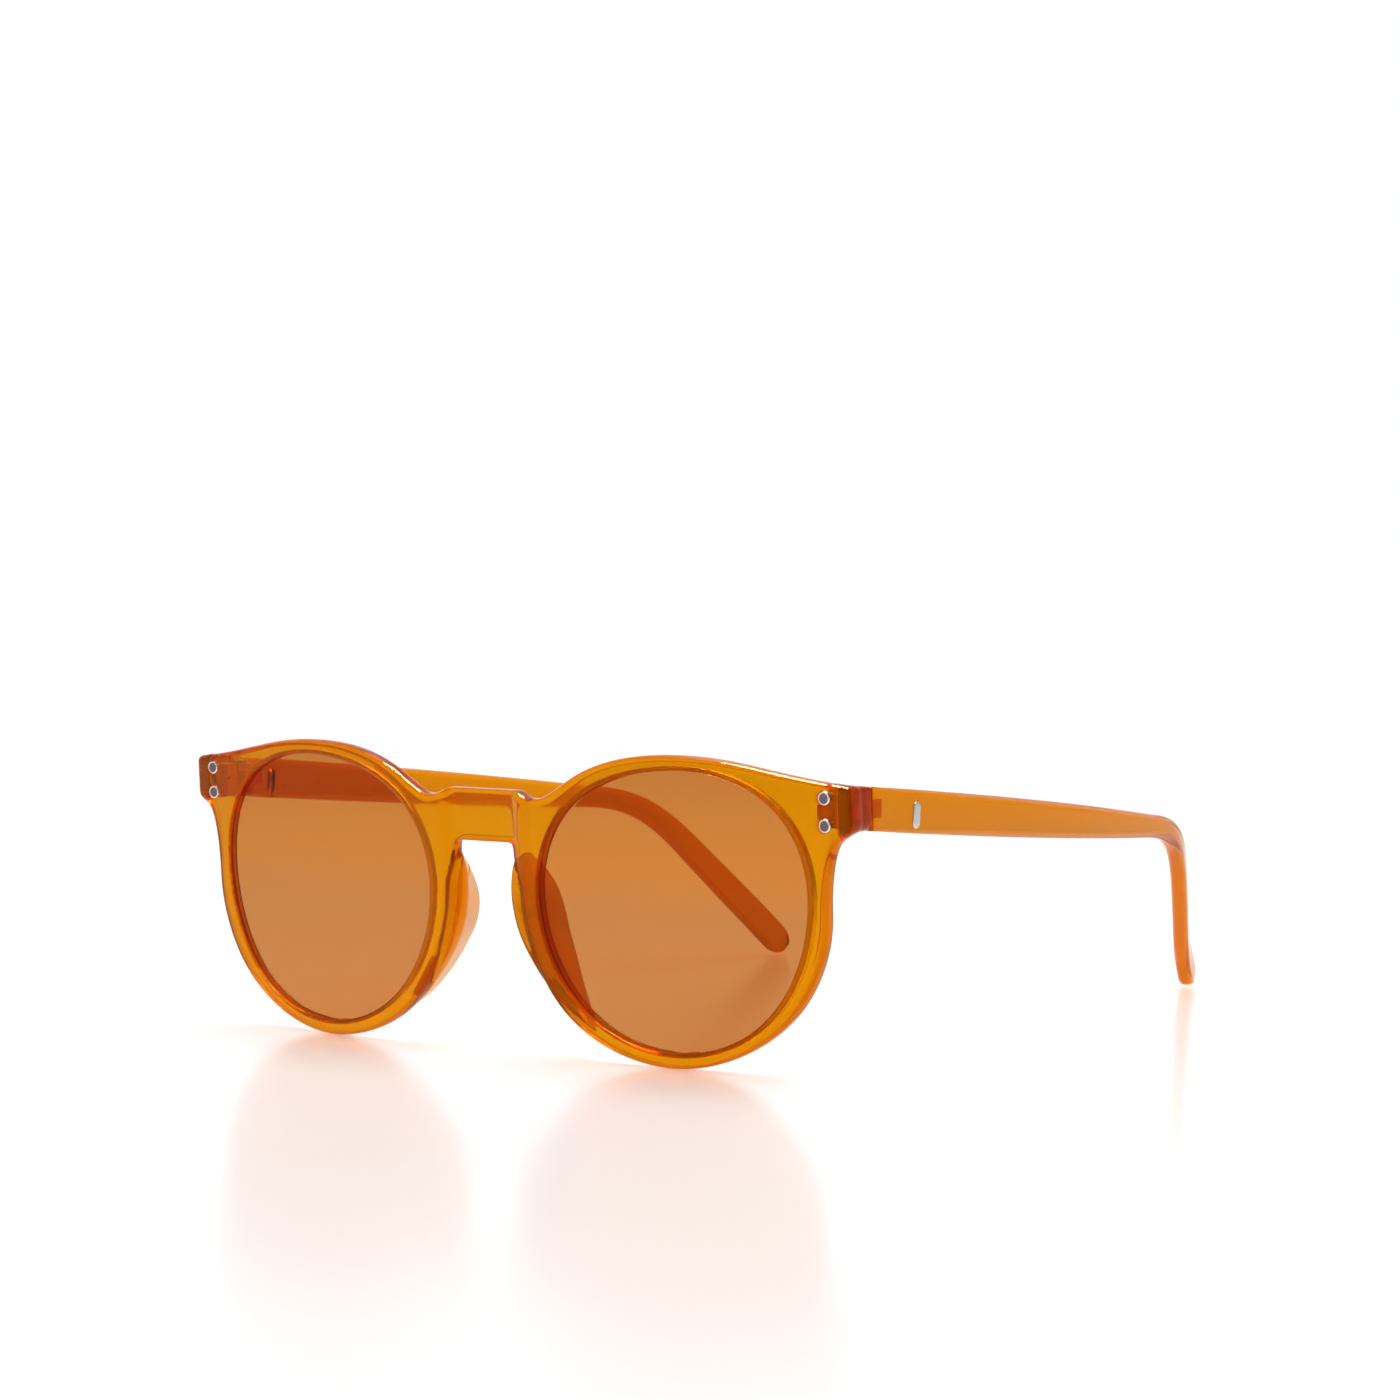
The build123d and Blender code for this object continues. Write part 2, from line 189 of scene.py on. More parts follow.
def opening_outline(grow, count):
    """The left lens opening: an ellipse softened towards a rounded panto shape."""
    angle = np.linspace(0, 2 * math.pi, count, endpoint=False)
    factor = 1.0
    for wave, times, share in OPENING_WAVES:
        factor = factor + share * wave(times * angle)
    x = LENS_X + (OPENING_HALF_WIDTH * factor + grow) * np.cos(angle)
    z = LENS_Z + (OPENING_HALF_HEIGHT * factor + grow) * np.sin(angle)
    return np.stack([x, z], axis=1)


def half_outline():
    """The left half of the front's outline, run on past the middle so that it mirrors cleanly."""
    past_middle = -6.0
    up, down, right, left = (0, 1), (0, -1), (1, 0), (-1, 0)
    brow_end, rim_side, nasal_join = (1, -0.15), (0, -1), (-0.18, 1)
    stretches = [
        (
            [
                (BRIDGE_HALF, BRIDGE_TOP),
                (8.8, 41.9),
                (11.0, 41.5),
                (13.6, 42.4),
                (18.3, 45.2),
                (25.5, 47.95),
                (36.5, 49.15),
                (46.0, 48.5),
                (55.5, 46.75),
                (66.4, 44.95),
            ],
            right,
            brow_end,
            110,
        ),
        ([(66.4, 44.95), (67.2, 44.65), (END_X, 44.0)], brow_end, down, 12),
        (
            [(END_X, 39.0), (66.9, 37.8), (65.0, 36.4), (63.7, 33.7), (63.0, 29.5), (62.8, 25.0)],
            down,
            rim_side,
            36,
        ),
        (
            [
                (62.8, 25.0),
                (60.9, 16.0),
                (57.3, 10.0),
                (52.1, 5.3),
                (44.5, 1.55),
                (36.2, 0.05),
                (27.5, 1.1),
                (19.8, 4.3),
                (14.4, 8.7),
                (9.9, 15.8),
                (7.6, 23.0),
            ],
            rim_side,
            nasal_join,
            130,
        ),
        ([(7.6, 23.0), (6.9, 28.5), (6.2, 31.3), (6.0, 33.0)], nasal_join, up, 20),
        ([(6.0, 33.0), (5.7, 33.85), (4.8, BRIDGE_UNDER)], up, left, 8),
    ]
    outline = [np.array([[past_middle, BRIDGE_TOP]])]
    for points, start, end, count in stretches:
        outline.append(smooth_curve(points, start, end, count)[:-1])
    outline.append(np.array([[4.8, BRIDGE_UNDER], [past_middle, BRIDGE_UNDER]]))
    return np.concatenate(outline)


class FlatField:
    """An outline's distance over the front, sampled once on a grid and read back smoothly."""

    LOW, HIGH, STEP = (-2.0, -4.0), (71.0, 54.0), 0.2

    def __init__(self, outline):
        axes = [np.arange(a, b, self.STEP) for a, b in zip(self.LOW, self.HIGH, strict=True)]
        self.values = outline_distance(outline, *np.meshgrid(*axes, indexing="ij"))

    def __call__(self, x, z):
        """Cubic reading between the samples."""
        u = (np.abs(x) - self.LOW[0]) / self.STEP
        v = (z - self.LOW[1]) / self.STEP
        i = np.clip(u.astype(int), 1, self.values.shape[0] - 3)
        j = np.clip(v.astype(int), 1, self.values.shape[1] - 3)
        across, along = cubic_weights(u - i), cubic_weights(v - j)
        total = 0.0
        for a in range(4):
            for b in range(4):
                total = total + across[a] * along[b] * self.values[i + a - 1, j + b - 1]
        return total


def cubic_weights(t):
    return (
        ((-0.5 * t + 1) * t - 0.5) * t,
        (1.5 * t - 2.5) * t * t + 1,
        ((-1.5 * t + 2) * t + 0.5) * t,
        (0.5 * t - 0.5) * t * t,
    )


OUTER_EDGE = FlatField(half_outline())
OPENING_EDGE = FlatField(opening_outline(0.0, 160))


# ---- meshes -------------------------------------------------------------
def new_object(name, points, faces, smooth=True):
    mesh = bpy.data.meshes.new(name)
    mesh.from_pydata([tuple(p) for p in points], [], [tuple(f) for f in faces])
    mesh.update()
    if smooth:
        mesh.polygons.foreach_set("use_smooth", np.ones(len(mesh.polygons), bool))
    thing = bpy.data.objects.new(name, mesh)
    bpy.context.scene.collection.objects.link(thing)
    return thing


def mirrored(points, faces):
    """The same mesh on the wearer's other side."""
    points = np.array(points) * np.array([-1, 1, 1])
    return points, turned_over(faces)


def surface_of(field, low, step):
    """Quads round the inside of a sampled distance field, with one vertex in each crossed cell."""
    inside = field < 0
    shape = np.array(field.shape) - 1
    total = np.zeros((*shape, 3))
    count = np.zeros(shape)
    corner = [slice(0, -1), slice(1, None)]
    for axis in range(3):
        others = [k for k in range(3) if k != axis]
        for i in (0, 1):
            for j in (0, 1):
                near = [None, None, None]
                near[axis] = corner[0]
                near[others[0]], near[others[1]] = corner[i], corner[j]
                far = list(near)
                far[axis] = corner[1]
                a, b = field[tuple(near)], field[tuple(far)]
                crossed = (a < 0) != (b < 0)
                share = np.where(crossed, a / np.where(crossed, a - b, 1), 0)
                offset = np.zeros((*shape, 3))
                offset[..., axis] = share
                offset[..., others[0]], offset[..., others[1]] = i, j
                total += offset * crossed[..., None]
                count += crossed
    cells = np.argwhere(count > 0)
    index = np.full(shape, -1)
    index[tuple(cells.T)] = np.arange(len(cells))
    local = total[tuple(cells.T)] / count[tuple(cells.T)][:, None]
    points = np.array(low) + (cells + local) * step
    faces = []
    for axis in range(3):
        u, v = [k for k in range(3) if k != axis]
        start = [slice(None)] * 3
        start[axis] = slice(0, -1)
        end = [slice(None)] * 3
        end[axis] = slice(1, None)
        a, b = inside[tuple(start)], inside[tuple(end)]
        edges = np.argwhere(a != b)
        past_low = (edges[:, u] > 0) & (edges[:, v] > 0)
        before_high = (edges[:, u] < shape[u]) & (edges[:, v] < shape[v])
        edges = edges[past_low & before_high]
        outward = a[tuple(edges.T)]
        if axis == 1:
            outward = ~outward
        ring = []
        for du, dv in ((1, 1), (0, 1), (0, 0), (1, 0)):
            cell = edges.copy()
            cell[:, u] -= du
            cell[:, v] -= dv
            ring.append(index[tuple(cell.T)])
        quads = np.stack(ring, axis=1)
        quads[~outward] = quads[~outward][:, ::-1]
        faces.append(quads)
    return points, np.concatenate(faces)


def pull_to_surface(points, distance, step):
    """Moves each vertex onto the exact surface, so that highlights run smoothly."""
    probe = step / 20
    for _ in range(3):
        value = distance(points)
        slope = np.empty_like(points)
        for axis in range(3):
            shifted = points.copy()
            shifted[:, axis] += probe
            slope[:, axis] = (distance(shifted) - value) / probe
        size2 = np.maximum((slope**2).sum(1), 0.25)
        move = slope * (value / size2)[:, None]
        limit = step / 2
        length = np.maximum(np.linalg.norm(move, axis=1), 1e-9)
        points = points - move * np.minimum(1, limit / length)[:, None]
    return points


def tube_faces(rows, around, first=0):
    """Quads between rings of vertices that follow each other."""
    faces = []
    for r in range(rows - 1):
        for i in range(around):
            j = (i + 1) % around
            a = first + r * around
            faces.append((a + i, a + j, a + around + j, a + around + i))
    return faces


def capped_tube(rows, around):
    """The same, closed at both ends."""
    faces = tube_faces(rows, around)
    count = rows * around
    faces.append(tuple(reversed(range(around))))
    faces.append(tuple(range(count - around, count)))
    return faces


def turned_over(faces):
    return [tuple(reversed(f)) for f in faces]


def place_pair(shape, base, suffix, made, on_temple=False):
    """The left piece and its mirror image, each in place of its CAD node."""
    pair = []
    for word in SIDES:
        node = f"{base}_{word}"
        points, faces = shape if word == "left" else mirrored(*shape)
        thing = new_object(f"{node}_{suffix}", points, faces)
        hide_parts(node)
        finish_piece(thing, f"{word}_temple" if on_temple else "front", made)
        pair.append(thing)
    return pair


def finish_piece(thing, body, made):
    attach(thing, body)
    set_material(thing, made)


def grid_axes(low, high, step):
    return [np.arange(a, b + step, step) for a, b in zip(low, high, strict=True)]


# ---- front frame --------------------------------------------------------
def front_body(x, depth, z, outer, opening):
    """Distance to the rims, bridge and end pieces. outer and opening are the flat distances."""
    across = np.abs(x)
    middle = 1 - smooth_step((across - BRIDGE_THICK_HALF) / BRIDGE_THICK_FADE)
    back = RIM_DEPTH + (BRIDGE_BACK - RIM_DEPTH) * middle
    rim = round_max(outer, -depth, RIM_FRONT_ROUND)
    rim = round_max(rim, depth - back, RIM_BACK_ROUND)
    y = surface_y(across, depth)
    front_y = surface_y(END_X, 0.0)
    slope = (END_TOP_FRONT - END_TOP_JOINT) / (JOINT_DEPTH - front_y)
    top = END_TOP_FRONT - slope * (y - front_y)
    block = round_max(outer, END_INNER_X - across, END_INNER_ROUND)
    block = round_max(block, -depth, END_FRONT_ROUND)
    block = round_max(block, (z - top) / math.hypot(1, slope), END_TOP_ROUND)
    block = round_max(block, END_UNDER - z, END_UNDER_ROUND)
    block = round_max(block, y - JOINT_DEPTH, END_JOINT_ROUND)
    body = round_min(rim, block, END_FILLET)
    wall = across - RECESS_HALF + RECESS_WALL_LEAN * (depth - RECESS_WALL_DEPTH)
    wall = wall / math.hypot(1, RECESS_WALL_LEAN)
    channel = round_max(depth - BRIDGE_RECESS, wall, RECESS_FILLET)
    body = round_max(body, -channel, RECESS_EDGE_ROUND)
    return round_max(body, -opening, OPENING_ROUND)


def front_cuts(x, depth, z, opening):
    """Distance to what is cut out of the front: lens grooves and rivet holes."""
    middle = LENS_FRONT + LENS_THICKNESS / 2
    reach = LENS_THICKNESS / 2 + GROOVE_CLEARANCE
    cut = np.maximum(opening - GROOVE_DEPTH - GROOVE_CLEARANCE, np.abs(depth - middle) - reach)
    for height in RIVET_HEIGHTS.values():
        radial = np.hypot(np.abs(x) - RIVET_X, z - height)
        head = np.maximum(radial - RIVET_HEAD_RADIUS - RIVET_HEAD_CLEARANCE, depth - RIVET_HEAD_DEPTH)
        shank = np.maximum(radial - RIVET_SHANK_RADIUS - RIVET_SHANK_CLEARANCE, depth - RIVET_LENGTH)
        cut = np.minimum(cut, np.minimum(head, shank))
    return cut


def front_distance(points):
    x, depth, z = points.T
    opening = OPENING_EDGE(x, z)
    body = front_body(x, depth, z, OUTER_EDGE(x, z), opening)
    return np.maximum(body, -front_cuts(x, depth, z, opening))


def build_front():
    step = 0.26
    low, high = (-68.2, -0.9, -0.8), (68.2, 6.4, 50.2)
    x, depth, z = grid_axes(low, high, step)
    flat = np.meshgrid(x, z, indexing="ij")
    outer, opening = OUTER_EDGE(*flat)[:, None, :], OPENING_EDGE(*flat)[:, None, :]
    grid = x[:, None, None], depth[None, :, None], z[None, None, :]
    body = front_body(*grid, outer, opening)
    field = np.maximum(body, -front_cuts(*grid, opening))
    points, faces = surface_of(field, low, step)
    points = pull_to_surface(points, front_distance, step)
    px, pd, pz = points.T
    thing = new_object("front_shell", front_to_row(px, surface_y(px, pd), pz), faces)
    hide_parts("front_frame")
    finish_piece(thing, "front", front_plastic())


# ---- nose pads ----------------------------------------------------------
PAD_HEIGHTS = [4.5, 7.5, 11.5, 15.5, 19.5, 23.5, 27.0, 30.0, 32.8]
PAD_FRONT_X = [20.4, 17.0, 13.4, 10.6, 8.6, 7.45, 7.1, 7.0, 7.1]
PAD_FRONT_Y = [2.3, 2.4, 2.4, 2.35, 2.3, 2.25, 2.2, 2.2, 2.2]
PAD_FRONT_RADIUS = [0.3, 1.2, 1.7, 2.0, 2.2, 2.2, 2.1, 1.7, 0.9]
PAD_REAR_X = [20.6, 17.2, 14.0, 11.7, 9.8, 8.9, 8.6, 8.2, 7.6]
PAD_REAR_Y = [2.9, 4.7, 6.5, 7.8, 8.6, 8.5, 7.2, 5.2, 3.2]
PAD_REAR_RADIUS = [0.25, 0.8, 1.0, 1.05, 1.05, 1.05, 1.0, 0.9, 0.5]
PAD_ROUND, PAD_TOP_ROUND = 0.3, 0.5
PAD_SEAM, PAD_FACE_CLEARANCE, PAD_OPENING_CLEARANCE = 0.02, 0.04, 0.15


def pad_distance(points):
    """A slanted fin: at each height the hull of a round front edge and a smaller round rear edge."""
    x, y, z = points.T
    columns = (PAD_FRONT_X, PAD_FRONT_Y, PAD_FRONT_RADIUS, PAD_REAR_X, PAD_REAR_Y, PAD_REAR_RADIUS)
    ax, ay, ar, bx, by, br = (smooth_table(z, column) for column in columns)
    run_x, run_y = bx - ax, by - ay
    length = np.hypot(run_x, run_y)
    along = ((x - ax) * run_x + (y - ay) * run_y) / length
    beside = np.abs((x - ax) * run_y - (y - ay) * run_x) / length
    taper = np.clip((ar - br) / length, -0.9, 0.9)
    share = np.clip((along - beside * taper / np.sqrt(1 - taper**2)) / length, 0, 1)
    gap = np.hypot(x - ax - share * run_x, y - ay - share * run_y)
    fin = gap - (ar + share * (br - ar))
    fin = round_max(fin, PAD_HEIGHTS[0] - z, PAD_ROUND)
    fin = round_max(fin, z - PAD_HEIGHTS[-1], PAD_TOP_ROUND)
    depth = FRONT_RADIUS - np.hypot(FRONT_RADIUS - y, x)
    fin = round_max(fin, PAD_FACE_CLEARANCE - depth, PAD_ROUND)
    opening = OPENING_EDGE(x, z)
    rim = front_body(x, depth, z, OUTER_EDGE(x, z), opening)
    fin = np.maximum(fin, PAD_SEAM - rim)
    return round_max(fin, -(opening - PAD_OPENING_CLEARANCE), PAD_ROUND)


def smooth_table(z, column):
    """A pad measure at heights between the listed ones, without corners."""
    knots = np.array(PAD_HEIGHTS)
    column = np.array(column)
    slope = np.gradient(column, knots)
    z = np.clip(z, knots[0], knots[-1])
    k = np.clip(np.searchsorted(knots, z, side="right") - 1, 0, len(knots) - 2)
    h = knots[k + 1] - knots[k]
    t = (z - knots[k]) / h
    start = (1 + 2 * t) * (1 - t) ** 2 * column[k] + t * (1 - t) ** 2 * h * slope[k]
    end = t * t * (3 - 2 * t) * column[k + 1] + t * t * (t - 1) * h * slope[k + 1]
    return start + end


def build_nose_pads():
    step = 0.22
    low, high = (3.6, -0.8, 3.6), (23.0, 10.2, 32.6)
    axes = grid_axes(low, high, step)
    grid = np.stack(np.meshgrid(*axes, indexing="ij"), axis=-1)
    field = pad_distance(grid.reshape(-1, 3)).reshape(grid.shape[:3])
    points, faces = surface_of(field, low, step)
    points = pull_to_surface(points, pad_distance, step)
    points = front_to_row(*points.T)
    place_pair((points, faces), "nose_pad", "moulding", side_plastic())


# ---- lenses -------------------------------------------------------------
LENS_EDGE_CLEARANCE = 0.02


def build_lenses():
    """Two bent plates with softly rounded edges, held in the grooves."""
    around = 180
    rings = 26
    bevel = 0.2
    edge = opening_outline(GROOVE_DEPTH - LENS_EDGE_CLEARANCE, around)
    centre = np.array([LENS_X, LENS_Z])
    front, back = LENS_FRONT, LENS_FRONT + LENS_THICKNESS
    rows = []
    for i in range(1, rings):
        rows.append((i / rings, 0.0, front))
    rows.append((1.0, -bevel, front))
    rows.append((1.0, 0.0, front + bevel))
    rows.append((1.0, 0.0, back - bevel))
    rows.append((1.0, -bevel, back))
    for i in range(rings - 1, 0, -1):
        rows.append((i / rings, 0.0, back))
    direction = (edge - centre) / np.linalg.norm(edge - centre, axis=1)[:, None]
    points = [np.array([[LENS_X, surface_y(LENS_X, front), LENS_Z]])]
    for share, inset, depth in rows:
        flat = centre + (edge - centre) * share + direction * inset
        points.append(np.stack([flat[:, 0], surface_y(flat[:, 0], depth), flat[:, 1]], axis=1))
    points.append(np.array([[LENS_X, surface_y(LENS_X, back), LENS_Z]]))
    points = front_to_row(*np.concatenate(points).T)
    faces = tube_faces(len(rows), around, first=1)
    last = len(points) - 1
    for i in range(around):
        j = (i + 1) % around
        faces.append((0, 1 + j, 1 + i))
        faces.append((last, last - around + i, last - around + j))
    place_pair((points, turned_over(faces)), "lens", "plate", lens_tint_and_painted_reflection())


# ---- temples ------------------------------------------------------------
TEMPLE_START = np.array([END_X, 10.04, 41.68])
THICKNESS_FRONT, THICKNESS_REAR = 3.58, 2.66
JOINT_HEIGHT, WAIST_HEIGHT, TIP_HEIGHT = 6.86, 4.1, 5.6
TEMPLE_LENGTH = 152.0
BEND_START, BEND_LENGTH = 94.7, 28.7
SLOPE_DOWN, EAR_BEND = 0.0920, 0.6808
TOE_OUT, CURL_IN_PER_100, EAR_CURL_IN = 0.039, 0.194, 0.275
TIP_TURN_OUT, TIP_TURN_START = 0.2, 133.0
HEIGHT_FALL_POWER, TIP_GROWTH = 2.3, 52.0
CORNER_FRONT, CORNER_GAIN, CORNER_GROWTH = 0.6, 0.65, 30.0
FULL_CORNER = 0.49  # largest corner radius, as a share of the thickness
LEAN_FADE = 12.0  # length over which the front end's slant, parallel to the front, dies away
PATH_STEP = 0.25


def temple_direction(s):
    bend = smooth_step((s - BEND_START) / BEND_LENGTH)
    inward = -TOE_OUT + CURL_IN_PER_100 * s / 100 + EAR_CURL_IN * bend
    inward -= TIP_TURN_OUT * smooth_step((s - TIP_TURN_START) / (TEMPLE_LENGTH - TIP_TURN_START))
    downward = SLOPE_DOWN + EAR_BEND * bend
    cos = math.cos(downward)
    return np.array([-math.sin(inward) * cos, math.cos(inward) * cos, -math.sin(downward)])


def temple_path(step):
    """Lengths and points down the middle of the outer face."""
    lengths = np.arange(0, TEMPLE_LENGTH + step / 2, step)
    points = [TEMPLE_START]
    for s in lengths[:-1]:
        points.append(points[-1] + temple_direction(s + step / 2) * step)
    return lengths, np.array(points)


def path_point(s, lengths, path):
    return np.array([np.interp(s, lengths, path[:, k]) for k in range(3)])


def temple_height(s):
    share = max(s, 0) / BEND_START
    if share < 1:
        return JOINT_HEIGHT - (JOINT_HEIGHT - WAIST_HEIGHT) * share**HEIGHT_FALL_POWER
    grown = float(smooth_step((s - BEND_START) / TIP_GROWTH))
    return WAIST_HEIGHT + (TIP_HEIGHT - WAIST_HEIGHT) * grown


def rounded_section(thickness, height, radius, around):
    """Points round a rectangle with rounded corners, evenly spaced by angle in each corner."""
    corners = []
    per_corner = around // 4
    for quarter in range(4):
        sign_x = 1 if quarter in (0, 3) else -1
        sign_z = 1 if quarter in (0, 1) else -1
        centre = np.array([sign_x * (thickness / 2 - radius), sign_z * (height / 2 - radius)])
        angle = math.pi / 2 * (quarter + np.linspace(0, 1, per_corner))
        corners.append(centre + radius * np.stack([np.cos(angle), np.sin(angle)], axis=1))
    return np.concatenate(corners)


def temple_rows():
    """(length, height scale, thickness scale) of each ring: a bevel at the joint, a round tip."""
    bevel, round_end, edge = 0.25, 3.6, 1.2
    spacing, bend_spacing, before_bend = 2.0, 1.0, 6
    last_share = 0.985  # of the quarter turn, so that the tip's last ring keeps some size
    rows = [(0.0, 0.94, 0.9), (bevel * 0.3, 0.975, 0.96), (bevel, 1.0, 1.0)]
    s = 1.5
    while s < TEMPLE_LENGTH - round_end:
        rows.append((s, 1.0, 1.0))
        s += bend_spacing if s > BEND_START - before_bend else spacing
    steps = 14
    for i in range(1, steps + 1):
        angle = math.pi / 2 * min(i / steps, last_share)
        s = TEMPLE_LENGTH - round_end * (1 - math.sin(angle))
        reach = max(0.0, s - (TEMPLE_LENGTH - edge)) / edge
        rows.append((s, math.cos(angle), math.sqrt(max(1 - reach * reach, 0.01))))
    return rows


def build_temples():
    around = 64
    lengths, path = temple_path(PATH_STEP)
    parallel_to_front = math.tan(FRONT_TILT) + math.tan(SLOPE_DOWN)
    points = []
    rows = temple_rows()
    for s, tall, thick in rows:
        middle = path_point(s, lengths, path)
        direction = temple_direction(s)
        outward = np.array([direction[1], -direction[0], 0.0])
        outward /= np.linalg.norm(outward)
        upward = np.cross(outward, direction)
        share = s / TEMPLE_LENGTH
        thickness = THICKNESS_FRONT + (THICKNESS_REAR - THICKNESS_FRONT) * share
        radius = CORNER_FRONT + CORNER_GAIN * float(smooth_step(s / CORNER_GROWTH))
        radius = min(radius, thickness * FULL_CORNER)
        section = rounded_section(thickness, temple_height(s), radius, around)
        section = section * np.array([thick, tall])
        centre = middle - outward * thickness / 2
        ring = centre + section[:, :1] * outward + section[:, 1:] * upward
        lean = parallel_to_front * (1 - float(smooth_step(s / LEAN_FADE)))
        ring[:, 1] -= (ring[:, 2] - centre[2]) * lean
        points.append(ring)
    points = (np.concatenate(points) + SHIFT) * MM
    faces = turned_over(capped_tube(len(rows), len(points) // len(rows)))
    place_pair((points, faces), "temple", "arm", side_plastic(), on_temple=True)


# ---- metal pieces -------------------------------------------------------
def lathe(profile, around):
    """Rings of a turned shape about Z from (radius, height) pairs, closed at both ends."""
    angle = np.linspace(0, 2 * math.pi, around, endpoint=False)
    rings = []
    for radius, height in profile:
        x, y = radius * np.cos(angle), radius * np.sin(angle)
        rings.append(np.stack([x, y, np.full(around, height)], axis=1))
    return np.concatenate(rings), capped_tube(len(profile), around)


RIVET_RIM_ROWS = range(3, 9)  # rows of the rivet's profile that are its turned-down rim


def build_rivets():
    """Flat-headed rivets, their rims turned down a little."""
    head, shank = RIVET_HEAD_RADIUS, RIVET_SHANK_RADIUS
    profile = [
        (shank, RIVET_LENGTH),
        (shank, RIVET_HEAD_DEPTH),
        (head - 0.05, RIVET_HEAD_DEPTH),
        (head, RIVET_HEAD_DEPTH - 0.05),
        (head, 0.05),
        (head - 0.03, -0.02),
        (head - 0.1, -0.07),
        (head - 0.18, -0.09),
        (head - 0.24, -0.075),
        (head - 0.3, -0.06),
        (head * 0.4, -0.06),
    ]
    around = 40
    points, faces = lathe(profile, around)
    for name, height in RIVET_HEIGHTS.items():
        x = RIVET_X + points[:, 0]
        y = surface_y(RIVET_X, 0.0) + points[:, 2]
        placed = front_to_row(x, y, height + points[:, 1])
        for thing in place_pair((placed, faces), f"rivet_{name}", "turned", rivet_metal_and_painted_dark()):
            # painted highlight and painted reflection: the rim gets a bright copy of the metal, the
            # middle keeps a darkened one
            thing.data.materials.append(bright_metal_and_rim_highlight())
            paint_rim_highlight(thing.data, around)


def paint_rim_highlight(mesh, around):
    """Gives the turned-down rim of a rivet head the bright metal, as a painted highlight against the
    head's darker middle.
    """
    for face in mesh.polygons:
        if min(face.vertices) // around in RIVET_RIM_ROWS:
            face.material_index = 1


def build_inlays():
    """Plain metal capsules set in the temples' outer faces."""
    at, drop, height, width = 11.7, 0.5, 4.2, 1.8
    middle = path_point(at, *temple_path(PATH_STEP)) - np.array([0, 0, drop])
    direction = temple_direction(at)
    outward = np.array([direction[1], -direction[0], 0.0])
    upward = np.cross(outward, direction)
    rows = ((-0.3, 0.0), (0.02, 0.0), (0.055, -0.04), (0.065, -0.12), (0.065, -0.8))
    points = []
    per_end = 16
    for proud, grow in rows:
        radius = width / 2 + grow
        ring = []
        for end in (1, -1):
            angle = np.linspace(0, math.pi, per_end) + (0 if end == 1 else math.pi)
            middle_of_end = (height - width) / 2 * end
            for a in angle:
                sideways, up = radius * math.cos(a), middle_of_end + radius * math.sin(a)
                ring.append(middle + outward * proud + direction * sideways + upward * up)
        points.append(np.array(ring))
    points = (np.concatenate(points) + SHIFT) * MM
    faces = turned_over(capped_tube(len(rows), 2 * per_end))
    place_pair((points, faces), "temple_inlay", "capsule", bright_metal_and_rim_highlight(), on_temple=True)


# ---- hinges: CAD nodes with bevels and materials ------------------------
HINGE_BEVEL, SCREW_BEVEL = 0.12, 0.06


def dress_hinges():
    for word in SIDES:
        for name in ("front_hinge", "temple_hinge"):
            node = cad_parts[f"{name}_{word}"]
            soften(node, HINGE_BEVEL)
            set_material(node, hinge_plastic())
        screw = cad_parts[f"hinge_screw_{word}"]
        soften(screw, SCREW_BEVEL)
        set_material(screw, screw_metal())


def soften(thing, width):
    bevel = thing.modifiers.new("edges", "BEVEL")
    bevel.width = width * MM
    bevel.segments = 3
    bevel.limit_method = "ANGLE"
    bevel.angle_limit = math.radians(40)
    bevel.harden_normals = False


# ---- materials ----------------------------------------------------------
MATERIALS = {}
FACE_DYE = (0.78, 0.405, 0.008, 1.0)
# painted shade: the deeper orange laid round the edges of the front, the pads and the temples
RIM_EDGE_PAINTED_SHADE = (0.68, 0.17, 0.004, 1.0)
SIDE_EDGE_PAINTED_SHADE = (0.72, 0.32, 0.007, 1.0)
FRONT_EDGE_COSINES = (0.72, 0.985)  # painted edge shade below the first, face colour above the second
SIDE_EDGE_COSINES = (0.5, 0.9)
AMBER_CLEAR = 0.86  # the rest of the plastic is milky
AMBER_IOR = 1.32  # set below real plastic's 1.5, for the photograph's quiet reflections
AMBER_SPECULAR = 0.1
AMBER_DEPTH_COLOUR, AMBER_DEPTH_DENSITY = (0.97, 0.76, 0.0, 1.0), 600.0
SHEEN_TINT = (1.0, 0.55, 0.03, 1.0)
# painted reflection: the lower tint is paler, standing in for the white table reflected in the
# lenses' lower half
LENS_LOWER_TINT_AND_REFLECTION, LENS_UPPER = (0.51, 0.20, 0.056, 1.0), (0.57, 0.203, 0.038, 1.0)
LENS_TINT_HEIGHTS = (22 * MM, 32 * MM)
LENS_IOR = 1.15  # set like AMBER_IOR
HINGE_CLEAR, HINGE_SPECULAR, HINGE_IOR = 0.6, 0.3, 1.49


def material(name):
    """(nodes, principled shader, material) of a new node material."""
    made = bpy.data.materials.new(name)
    made.use_nodes = True
    nodes = made.node_tree.nodes
    return nodes, nodes["Principled BSDF"], made


def cached(build):
    def get():
        if build.__name__ not in MATERIALS:
            MATERIALS[build.__name__] = build()
        return MATERIALS[build.__name__]

    return get


def set_material(thing, made):
    thing.data.materials.clear()
    thing.data.materials.append(made)


def linear(red, green, blue):
    """Linear colour from sRGB values out of 255."""
    channels = []
    for value in (red, green, blue):
        value /= 255
        channels.append(value / 12.92 if value <= 0.04045 else ((value + 0.055) / 1.055) ** 2.4)
    return (*channels, 1.0)


def noise(nodes, links, scale, detail=3.0):
    """Noise fixed to the object, in row-frame metres."""
    where = nodes.new("ShaderNodeTexCoord")
    texture = nodes.new("ShaderNodeTexNoise")
    texture.inputs["Scale"].default_value = scale
    texture.inputs["Detail"].default_value = detail
    links.new(where.outputs["Object"], texture.inputs["Vector"])
    return texture


def ranged(nodes, links, source, low, high, source_range=(0.0, 1.0), kind="LINEAR"):
    """source, within source_range, stretched between low and high."""
    step = nodes.new("ShaderNodeMapRange")
    step.interpolation_type = kind
    step.inputs["From Min"].default_value, step.inputs["From Max"].default_value = source_range
    step.inputs["To Min"].default_value = low
    step.inputs["To Max"].default_value = high
    links.new(source, step.inputs["Value"])
    return step.outputs["Result"]


